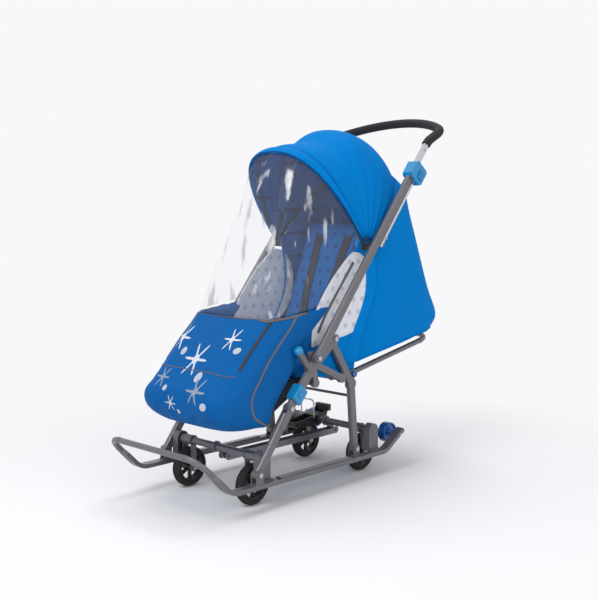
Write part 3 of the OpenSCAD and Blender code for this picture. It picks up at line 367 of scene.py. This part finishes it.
def plump(obj, voxel, cap, pressure=4.0):
    """Padded cloth: remeshed, blown up a little by the wadding in it, and held to a largest movement."""
    remesh = obj.modifiers.new("remesh", "REMESH")
    remesh.mode, remesh.voxel_size = "VOXEL", voxel
    apply_all(obj)
    start = np.array([v.co for v in obj.data.vertices])
    cloth = obj.modifiers.new("cloth", "CLOTH")
    cloth.settings.use_pressure, cloth.settings.uniform_pressure_force = True, pressure
    cloth.settings.effector_weights.gravity = 0
    cloth.point_cache.frame_start, cloth.point_cache.frame_end = 1, PLUMP_FRAMES
    for f in range(1, PLUMP_FRAMES + 1):
        bpy.context.scene.frame_set(f)
    apply_all(obj)
    now = np.array([v.co for v in obj.data.vertices])
    move = now - start
    far = np.linalg.norm(move, axis=1, keepdims=True)
    now = start + move * np.minimum(1, cap / np.maximum(far, 1e-9))
    obj.data.vertices.foreach_set("co", now.ravel())
    bpy.context.scene.frame_set(1)
    smooth_mod = obj.modifiers.new("ease", "SMOOTH")
    smooth_mod.factor, smooth_mod.iterations = 0.5, 4
    sub = obj.modifiers.new("round", "SUBSURF")
    sub.levels = sub.render_levels = 1
    apply_all(obj)


def dots(across_axis, along_axis, pitch, size, rgb):
    """Round dots in staggered rows, printed over the cloth's colour in the plane of two axes."""
    def paint(s, xyz, colour):
        part = s.make("ShaderNodeSeparateXYZ", {0: xyz}, out=across_axis)
        rise = s.make("ShaderNodeSeparateXYZ", {0: xyz}, out=along_axis) / pitch
        odd = rise.math("FLOORED_MODULO", rise.math("FLOOR", rise), 2.0)
        u = (part / pitch + odd * 0.5)
        u = u.math("FRACT", u) - 0.5
        v = rise.math("FRACT", rise) - 0.5
        far = u.math("SQRT", u * u + v * v)
        return (far < size / pitch).mix(colour, linear(rgb))
    return paint


WEAVE = dict(rough=0.8, grain=0.8, grain_size=1100.0, shine=0.15)
seat_cloth = material("seat_cloth", (6, 108, 184), paint=dots(0, 2, 0.036, 0.0065, (6, 74, 138)), **WEAVE)
webbing = material("webbing", (44, 50, 66), 0.75, grain=0.9, grain_size=1500.0)

SEAT_HALF, SEAT_Z, SEAT_THICK, CROWN = 146, 318, 32, 6
SEAT_FRONT, SEAT_LENGTH = -72, 168
ROD, BACK_ANGLE, BACK_LENGTH, BACK_THICK = (112, 330), 68, 440, 30
ROD_GAP = 6.3
CUSHION_VOXEL, CUSHION_SWELL = 0.006, 0.006
SEAM_SINK, SIDE_DRAW = 5, 0.025


def cushion(half, length, thick, channels, place):
    """Crowned pad: flat below, drawn in at its sides, with sewn channels across it."""
    def edge(s):
        return max(1 - abs(2 * s - 1) ** 6, 0) ** 0.5

    def pull(s):
        return 1 - SIDE_DRAW * math.sin(math.pi * s) ** 2

    rows, cols = 60, 48
    top, base = [], []
    for i in range(rows + 1):
        v, t, b = i / rows, [], []
        for j in range(cols + 1):
            u = j / cols
            x = (2 * u - 1) * half * pull(v)
            rise = thick * 0.45 + CROWN * math.sin(math.pi * u) * math.sin(math.pi * v)
            seam = SEAM_SINK * max(math.cos(v * channels * 2 * math.pi), 0) ** 10 if channels else 0
            t.append(place(x, v * length, thick * 0.55 + (rise - seam) * edge(u) * edge(v)))
            b.append(place(x, v * length, 0))
        top.append(t)
        base.append(b)
    piece = Piece()
    piece.shell(top, base)
    return piece


seat = cushion(SEAT_HALF - 2, SEAT_LENGTH - 4, SEAT_THICK - 3, 0,
               lambda x, y, z: (x, SEAT_FRONT + 2 + y, SEAT_Z + 0.5 + z)).build("seat_cushion", seat_cloth)
plump(seat, CUSHION_VOXEL, CUSHION_SWELL)
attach(seat, "upper")
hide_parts("seat_pan")

BACK_DIR, BACK_OUT = ahead((0, 0), BACK_ANGLE, 1), ahead((0, 0), BACK_ANGLE + 90, 1)


def on_back(x, y, z):
    """A point of the backrest: x across, y up along it, z out from its rear face."""
    p = np.array(ROD) + (ROD_GAP + 2 + y) * BACK_DIR + (z - BACK_THICK / 2) * BACK_OUT
    return (x, p[0], p[1])


back = cushion(SEAT_HALF - 9, BACK_LENGTH - 6, BACK_THICK - 2, 3, on_back).build("back_cushion", seat_cloth)
plump(back, CUSHION_VOXEL, CUSHION_SWELL)
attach(back, "back")
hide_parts("backrest")

STRAP_WIDE, STRAP_THICK, STRAP_LIFT = 30, 3, 2.5
STRAP_FROM, STRAP_TO = 30, BACK_LENGTH - 60
STRAP_LOW_X, STRAP_HIGH_X = 30, 62
OVER_BACK = 30
straps = Piece()
cushion_skin = BVHTree.FromObject(back, bpy.context.evaluated_depsgraph_get())
for side in (-1, 1):
    path = []
    for y in np.linspace(STRAP_FROM, STRAP_TO, 40):
        p = on_back(side * mix(STRAP_LOW_X, STRAP_HIGH_X, y / BACK_LENGTH), y, BACK_THICK + OVER_BACK)
        aim = (0, -BACK_OUT[0], -BACK_OUT[1])
        hit = cushion_skin.ray_cast(Vector(row(p)), Vector(aim))[0]
        lift = STRAP_LIFT * np.array((0, *BACK_OUT))
        path.append(np.array(hit) * 1000 + (0, MIDDLE_Y, 0) + lift if hit else p)
    straps.tube(path, STRAP_WIDE, STRAP_THICK, up=(0, *BACK_OUT))
harness = straps.build("shoulder_straps", webbing)
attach(harness, "back")
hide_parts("harness")
dress(black_plastic, "buckle")


# Side panels: white lining cloth with grey dots, one each side from the seat edge up along the handle
# tube, bound in grey along the tube and held at the hood pivot.
def smooth(points, s):
    """Smooth curve through a list of points, s from 0 to 1."""
    pts = [np.atleast_1d(np.array(p, float)) for p in points]
    n = len(pts) - 1
    i = min(int(s * n), n - 1)
    f = s * n - i
    a, b, c, d = pts[max(i - 1, 0)], pts[i], pts[i + 1], pts[min(i + 2, n)]
    bend, twist = 2 * a - 5 * b + 4 * c - d, 3 * b - a - 3 * c + d
    return 0.5 * (2 * b + (c - a) * f + bend * f * f + twist * f ** 3)


binding_grey = material("binding", (104, 101, 106), 0.8, grain=0.7)
PANEL_DOTS = dots(1, 2, 0.036, 0.0075, (198, 201, 211))
panel_cloth = material("panel_cloth", (232, 234, 242), paint=PANEL_DOTS, **WEAVE)
PANEL_X, PANEL_THICK = 159.2, 3.4
PANEL_LINE = [(-30, 404), (30, 416), (110, 424), (165, 444), (205, 490), (222, 550), (212, 606), (184, 642),
              (156, 654), (128, 648), (60, 590), (2, 522), (-24, 470), (-30, 404)]
PANEL_MIDDLE = np.array((112, 540))
RINGS, ROUND = 14, 84
EDGE_CORD, TAPE_WIDE, TAPE_THICK, TAPE_OUT = 4.5, 10, 1.6, 2.2
TAPE_LINE = [(-8, 440), (20, 484), (62, 536), (104, 586), (140, 628)]
for name, side in (("left", 1), ("right", -1)):
    def panel_point(k, ring, out):
        p = mix(PANEL_MIDDLE, smooth(PANEL_LINE, k % ROUND / ROUND), ring / RINGS)
        billow = 1.5 * math.sin(0.05 * p[0]) * math.cos(0.04 * p[1]) * (1 - (ring / RINGS) ** 2)
        return (side * (PANEL_X + billow + out), p[0], p[1])
    panel = Piece()
    panel.shell(*[[[panel_point(k, ring, o) for k in range(ROUND + 1)] for ring in range(1, RINGS + 1)]
                  for o in (PANEL_THICK / 2 * side, -PANEL_THICK / 2 * side)])
    for o in (PANEL_THICK / 2, -PANEL_THICK / 2):
        hub = len(panel.points)
        panel.points.append(panel_point(0, 0, o))
        panel.points += [panel_point(k, 1, o) for k in range(ROUND)]
        panel.faces += [(hub, hub + 1 + k, hub + 1 + (k + 1) % ROUND) for k in range(ROUND)]
        panel.mats += [0] * ROUND
    panel.tube([panel_point(k, RINGS, 0) for k in range(0, ROUND + 1)], EDGE_CORD, up=(1, 0, 0))
    # A grey tape is sewn along the handle tube
    panel.tube([(side * (PANEL_X + TAPE_OUT), *p) for p in TAPE_LINE], TAPE_WIDE, TAPE_THICK, mat=1,
               up=(1, 0, 0))
    obj = panel.build("side_panel_" + name, panel_cloth, binding_grey)
    row((0, 20, 450))
    row((0, 120, 600))
    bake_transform(obj)
    if side > 0:
        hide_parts("side_panels")


# Hood: one sheet of blue coated cloth over the three bows, gathered at the pivots, with a padded band
# sewn round its front edge and a dotted lining inside.
hood_blue = material("hood_blue", (0, 126, 206), 0.7, grain=0.5, grain_size=1100.0, mottle=0.04, shine=0.04)
seam_blue = material("seam_blue", (4, 78, 142), 0.8, grain=0.6, shine=0.1)
lining_blue = material("lining_blue", (6, 104, 180), paint=dots(0, 2, 0.036, 0.0065, (6, 74, 138)), **WEAVE)
PIVOT, HANDLE_ANGLE = (-58, 381), 51
HOOD = ahead(PIVOT, HANDLE_ANGLE, 372)
RIM_ANGLE, HOOD_REAR = 128, 47
HOOD_HALF, HOOD_CURVE, HOOD_LOW = 190, 0.81, 30
HOOD_REACH = [338, 322, 308, 340, 343, 338, 322]
BAND, HOOD_THICK = 0.085, 2.4


def across(t, k):
    """Where a squared-off arch stands across, from -1 to 1."""
    return math.copysign(abs(math.sin(math.radians(t))) ** k, t)


def depth(t, k):
    """How far the same arch reaches out, from 0 to 1."""
    return max(math.cos(math.radians(t)), 0) ** k


def hood_point(turn, t, inset):
    """A point of the hood: turn from rim to rear, t in degrees from side to side, sunk by inset."""
    angle = mix(RIM_ANGLE, HOOD_REAR, turn)
    reach = smooth(HOOD_REACH, min(max(turn, 0), 1))[0]
    p = ahead(HOOD, angle, mix(HOOD_LOW, reach - inset, depth(t, HOOD_CURVE)))
    return (across(t, HOOD_CURVE) * (HOOD_HALF - 12 * (1 - turn) - inset), p[0], p[1])


def hood_fold(turn, t):
    """How far the cloth sinks: pleats gathered to the pivots, a groove behind the band, small creases."""
    side = abs(math.sin(math.radians(t))) ** 3
    pleat = 3.2 * side * math.sin(math.pi * 6.5 * turn) ** 2
    crease = 0.9 * math.sin(9 * turn + 0.05 * t) * math.sin(0.11 * t + 5 * turn)
    groove = 5.0 * math.exp(-((turn - BAND - 0.012) / 0.01) ** 2)
    pad = -4.0 * max(math.sin(math.pi * min(turn / BAND, 1)), 0) ** 0.5
    return pad + (groove + pleat + crease + 0.9 if turn > BAND else 0)


HOOD_ROWS = [BAND * i / 10 for i in range(11)] + [mix(BAND, 1, (i + 1) / 66) for i in range(66)]
HOOD_COLS = np.linspace(90, -90, 89)
canopy = Piece()
canopy.shell([[hood_point(a, t, hood_fold(a, t)) for t in HOOD_COLS] for a in HOOD_ROWS],
             [[hood_point(a, t, max(hood_fold(a, t), 0) + HOOD_THICK) for t in HOOD_COLS]
              for a in HOOD_ROWS], 0, 1, 0)
# A cord edges the rim, and a thinner one lies in the groove behind the band
for turn, sink, cord in ((0.004, -0.5, 4.5), (BAND + 0.012, 4.2, 3.2)):
    canopy.tube([hood_point(turn, t, sink) for t in HOOD_COLS], cord, mat=2)
hood = canopy.build("hood_cloth", hood_blue, lining_blue, seam_blue)
row((0, *ahead(HOOD, 52, 240)))
row((0, *ahead(HOOD, 118, 300)))
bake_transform(hood)
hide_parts("canopy")


# Sleeve: a channel of the hood's blue cloth, sewn round the middle bow beneath the hood. It starts clear of
# the studs and turns with the bow.
SLEEVE_OVER, SLEEVE_START = 0.0013, 0.09
channel = bmesh.new()
channel.from_mesh(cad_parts["mid_bow"].data)
channel.transform(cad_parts["mid_bow"].matrix_world)
channel.normal_update()
stud = Vector(row((0, *HOOD)))
near = [v for v in channel.verts if math.hypot(v.co.y - stud.y, v.co.z - stud.z) < SLEEVE_START]
bmesh.ops.delete(channel, geom=near, context="VERTS")
for v in channel.verts:
    v.co += v.normal * SLEEVE_OVER
bmesh.ops.holes_fill(channel, edges=channel.edges, sides=0)
sleeve_mesh = bpy.data.meshes.new("bow_sleeve")
channel.to_mesh(sleeve_mesh)
channel.free()
sleeve_mesh.materials.clear()
sleeve_mesh.materials.append(hood_blue)
sleeve = bpy.data.objects.new("bow_sleeve", sleeve_mesh)
bpy.context.collection.objects.link(sleeve)
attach(sleeve, "hood_middle")


# Back cover: the hood's blue cloth goes on down behind the handle to the rear loop. It hangs in soft folds
# from the rear bow and ends in a corded hem.
COVER_TIP = np.array((572, 456))
SEAM = ahead(HOOD, HOOD_REAR - 90, 0.4)
COVER_REAR = [ahead(SEAM, HOOD_REAR, 320), (402, 816), (455, 684), (518, 541), COVER_TIP - (0, 4),
              COVER_TIP - (30, 44)]
COVER_FRONT = [ahead(SEAM, HOOD_REAR, 60), (208, 684), (224, 610), (218, 530), (172, 440), (138, 346)]
COVER_HALF, COVER_THICK = 178, 2.2


def cover_point(v, t, inset):
    """A point of the cover: v from the hood's seam down to the hem, t as on the hood."""
    r, f = smooth(COVER_REAR, v), smooth(COVER_FRONT, v)
    k = mix(HOOD_CURVE, 0.28, min(7 * v, 1))
    hang = v ** 0.8 * depth(t, 0.5)
    fold = hang * (3.6 * math.sin(math.radians(t * 9)) + 2.0 * math.sin(math.radians(t * 17 + 50 + 60 * v)))
    away = mix(ahead((0, 0), HOOD_REAR, 1), np.array((1.0, 0.0)), min(4 * v, 1))
    q = mix(f, r - (inset + 5 * hang) * away, depth(t, k)) + fold * away
    tuck = 1.6 * math.sin(math.radians(t * 13 + 200 * v)) * v * abs(math.sin(math.radians(t)))
    return (across(t, k) * (COVER_HALF - inset - tuck), q[0], q[1])


COVER_ROWS, COVER_COLS = np.linspace(0, 1, 56), np.linspace(90, -90, 131)
cover_mesh = Piece()
cover_mesh.shell([[cover_point(v, t, 0) for t in COVER_COLS] for v in COVER_ROWS],
                 [[cover_point(v, t, COVER_THICK) for t in COVER_COLS] for v in COVER_ROWS], 0, 1, 0)
HEM_AT, HEM_CORD = 0.985, 5
cover_mesh.tube([cover_point(HEM_AT, t, -0.6) for t in COVER_COLS], HEM_CORD)
# Each side edge turns in behind the side panel
TURN_IN, TURN_THICK = np.linspace(0, 1, 8), 2
TURN_X, TURN_AHEAD, TURN_DOWN = 151, 46, 8
for t, side in ((90, 1), (-90, -1)):
    def turned(v, w, out):
        edge = np.array(cover_point(v, t, 0))
        inner = np.array((side * TURN_X, edge[1] - TURN_AHEAD, edge[2] - TURN_DOWN))
        return mix(edge, inner, w) - (side * out, 0, 0)
    cover_mesh.shell(*[[[turned(v, w, o) for w in TURN_IN] for v in COVER_ROWS[6:]] for o in (0, TURN_THICK)])
cover = cover_mesh.build("back_cover_cloth", hood_blue, lining_blue)
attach(cover, "handle")
tuple(row((0, 210, 670)))
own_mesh(cover)
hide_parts("back_cover")


# Seat skirts: plain blue cloth between the seat and each side panel. They are sewn to the panel's lower edge
# and hang inside the legs.
SKIRT_TOP = [(-34, 404), (30, 424), (110, 432), (168, 452)]
SKIRT_LOW = [(-22, 318), (40, 312), (100, 306), (150, 318)]
SKIRT_X, SKIRT_THICK = 156.2, 1.4
skirts = Piece()
for side in (1, -1):
    def skirt_point(u, w, out):
        p = mix(np.array(smooth(SKIRT_TOP, u)), np.array(smooth(SKIRT_LOW, u)), w)
        return (side * (SKIRT_X + out - 0.6 * math.sin(14 * u) * w), p[0], p[1])
    skirts.shell(*[[[skirt_point(u, w, o) for u in np.linspace(0, 1, 28)] for w in np.linspace(0, 1, 14)]
                   for o in (SKIRT_THICK / 2, -SKIRT_THICK / 2)])
skirt = skirts.build("seat_skirts", hood_blue)
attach(skirt, "upper")


# Rain cover: clear PVC film, hung from the hood's rim and reaching down to the edge of the foot muff. It is
# wavy from being folded away, and its creases carry painted highlights where the film turns whiter and less
# clear.
film = bpy.data.materials.new("clear_film")
film.use_nodes = True
film_bsdf = film.node_tree.nodes["Principled BSDF"]
fs = Shade(film.node_tree)
film_xyz = fs.make("ShaderNodeTexCoord", {}, out=3)
film_long = fs.make("ShaderNodeMapping", {"Vector": film_xyz, "Scale": (26.0, 26.0, 5.0)})
crease_and_painted_highlight = fs.make("ShaderNodeTexNoise", {"Vector": film_long, "Scale": 1.0, "Detail": 3.0})
crease_and_painted_highlight = (crease_and_painted_highlight - 0.59) * 8.0
crease_and_painted_highlight = crease_and_painted_highlight.math("MINIMUM", crease_and_painted_highlight.math("MAXIMUM", crease_and_painted_highlight, 0.0), 1.0)
fs.feed(film_bsdf.inputs["Base Color"], (0.93, 0.95, 0.98, 1.0))
fs.feed(film_bsdf.inputs["Roughness"], 0.08)
# Painted highlight: along the creases the film turns whiter and less clear; the same creases also give the
# bump relief
fs.feed(film_bsdf.inputs["Alpha"], 0.035 + crease_and_painted_highlight * 0.5)
fs.feed(film_bsdf.inputs["Normal"],
        fs.make("ShaderNodeBump", {"Height": crease_and_painted_highlight, "Strength": 0.5, "Distance": 0.004}))
MUFF_FRONT = [(-196, 490), (-228, 458), (-268, 420), (-316, 368), (-362, 318), (-388, 284), (-378, 250),
              (-336, 222), (-268, 206), (-206, 202)]
MUFF_REAR = [(40, 518), (-6, 472), (-50, 430), (-80, 398), (-94, 362), (-114, 330), (-138, 300), (-160, 272),
             (-178, 245), (-192, 212)]
MUFF_HALF, MUFF_WALL, MUFF_CURVE = 167, 9, 0.27


def muff_point(v, t, inset):
    """A point of the muff: v from its upper edge round the toe, t in degrees from side to side."""
    f, r = smooth(MUFF_FRONT, v), smooth(MUFF_REAR, v)
    d = (f - r) / np.linalg.norm(f - r)
    q = mix(r, f - inset * d, depth(t, MUFF_CURVE))
    return np.array((across(t, MUFF_CURVE) * (MUFF_HALF - inset), q[0], q[1]))


def film_point(s, t, inset):
    """A point of the film: s from the hood's rim down to the muff's edge."""
    top = np.array(hood_point(0.006, t, 4.5 + inset))
    low = muff_point(0, t, 3.5 + inset) + (0, 0, 0.6)
    p = mix(top, low, s)
    belly = math.sin(math.pi * s)
    ripple = belly * (2.5 * math.sin(math.radians(7 * t)) + 1.6 * math.sin(math.radians(19 * t + 300 * s)))
    p[1] += ripple * depth(t, 0.5)
    p[0] -= math.copysign(6 * belly * abs(math.sin(math.radians(t))), t)
    return p


FILM_ROWS, FILM_COLS, FILM_THICK = np.linspace(0, 1, 40), np.linspace(-90, 90, 91), 0.5
film_mesh = Piece()
film_mesh.shell(*[[[film_point(s, t, o) for t in FILM_COLS] for s in FILM_ROWS] for o in (0, FILM_THICK)])
rain = film_mesh.build("rain_film", film)
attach(rain, "hood")
tuple(row((0, *HOOD)))
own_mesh(rain)
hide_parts("rain_cover")


# Foot muff: a wadded bag over the child's legs, blue with a loose print of snow crystals and dots. It is
# bound in grey along its upper edge and sides, and has two zips with a seam between them.
def crystals(s, xyz, colour):
    """Six-armed crystals and dots printed on the front of the muff."""
    x = s.make("ShaderNodeSeparateXYZ", {0: xyz}, out=0)
    z = s.make("ShaderNodeSeparateXYZ", {0: xyz}, out=2)
    for cx, cz, size, rgb in CRYSTALS:
        u, v = (x - cx) / size, (z - cz) / size
        far = u.math("SQRT", u * u + v * v)
        arm = u.math("COSINE", u.math("ARCTAN2", v, u) * 6.0) * 0.5 + 0.5
        reach = arm.math("POWER", arm, 6.0) * 0.74 + 0.26
        colour = (far < reach).mix(colour, linear(rgb))
        dot_far = u.math("SQRT", (u - 1.2) * (u - 1.2) + (v + 0.9) * (v + 0.9))
        colour = (dot_far < 0.28).mix(colour, linear((196, 200, 210)))
    return colour


CRYSTALS = [(-0.105, 0.43, 0.034, (224, 228, 236)), (0.0, 0.385, 0.042, (214, 220, 230)),
            (0.085, 0.44, 0.028, (224, 228, 236)), (-0.08, 0.335, 0.026, (150, 158, 172)),
            (0.07, 0.315, 0.036, (150, 158, 172)), (-0.02, 0.275, 0.022, (206, 212, 224))]
muff_cloth = material("muff_cloth", (2, 96, 168), 0.66, grain=0.6, grain_size=1100.0, shine=0.12,
                      paint=crystals)
zip_black = material("zip", (38, 40, 48), 0.55, grain=0.6, grain_size=1600.0)
MUFF_ROWS, MUFF_COLS = np.linspace(0, 1, 58), np.linspace(90, -90, 81)
MUFF_VOXEL, MUFF_SWELL = 0.0045, 0.006
bag_mesh = Piece()
bag_mesh.grid([[muff_point(v, t, 1.0 + MUFF_WALL / 2) for t in MUFF_COLS] for v in MUFF_ROWS])
bag = bag_mesh.build("muff_bag", muff_cloth)
wadding = bag.modifiers.new("wadding", "SOLIDIFY")
wadding.thickness, wadding.offset = MUFF_WALL / 1000, 0.0
plump(bag, MUFF_VOXEL, MUFF_SWELL)
skin_of_bag = BVHTree.FromObject(bag, bpy.context.evaluated_depsgraph_get())


def on_bag(v, t, lift):
    """The point of the finished bag nearest to a place on its pattern, lifted off it, and its normal."""
    at, normal, _, _ = skin_of_bag.find_nearest(Vector(row(muff_point(v, t, 0))))
    return np.array(at) * 1000 + (0, MIDDLE_Y, 0) + lift * np.array(normal), np.array(normal)


trim = Piece()


def sew(places, wide, thick, mat):
    """A tape sewn to the bag through places on its pattern."""
    on = [on_bag(v, t, thick * 0.15) for v, t in places]
    trim.tube([p for p, _ in on], wide, thick, mat=mat, up=[n for _, n in on])


# Binding of the upper edge, the two zips, the seam that joins them, and a binding down each side
ZIP_AT, SIDE_AT = 46, 84
sew([(0.004, t) for t in np.linspace(88, -88, 90)], 9, 4, 0)
for t in (ZIP_AT, -ZIP_AT):
    sew([(v, t) for v in np.linspace(0.015, 0.33, 40)], 8, 3, 1)
sew([(0.36, t) for t in np.linspace(ZIP_AT, -ZIP_AT, 60)], 3, 2, 0)
for t in (SIDE_AT, -SIDE_AT):
    sew([(v, t) for v in np.linspace(0.02, 0.97, 70)], 7, 3.5, 0)
trims = trim.build("muff_trim", binding_grey, zip_black)
for obj in (bag, trims):
    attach(obj, "upper")
    tuple(row((0, -110, 330)))
    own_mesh(obj)
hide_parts("muff")


# Footrest: a board in dark webbing cloth, inside the muff. It hangs from the front seat tube by a sewn loop
# at each end and swings there.
REST_AT, REST_ANGLE = (-48, 309.7), 208
REST_DIR, REST_UP = ahead((0, 0), REST_ANGLE, 1), ahead((0, 0), REST_ANGLE + 90, 1)
REST_HALF, REST_LENGTH, REST_THICK, REST_GAP = 152, 150, 7, 9.5
LOOP_FROM, LOOP_ROUND = 148.5, 15.8
rest_mesh = Piece()
rest_rows = []
for o in (REST_THICK / 2, -REST_THICK / 2):
    face = []
    for v in np.linspace(0, 1, 24):
        line = []
        for u in np.linspace(-1, 1, 40):
            soft = (1 - u ** 8) * (1 - (2 * v - 1) ** 8)
            rise = o * (0.45 + 0.55 * soft)
            p = np.array(REST_AT) + (REST_GAP + v * REST_LENGTH) * REST_DIR + rise * REST_UP
            line.append((u * REST_HALF, p[0], p[1]))
        face.append(line)
    rest_rows.append(face)
rest_mesh.shell(*rest_rows)
for side in (-1, 1):
    path = [(side * mix(LOOP_FROM, REST_HALF, k), *REST_AT) for k in (0, 0.5, 1)]
    rest_mesh.tube(path, LOOP_ROUND, sides=20)
rest = rest_mesh.build("footrest_flap", webbing)
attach(rest, "calf_board")
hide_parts("footrest")
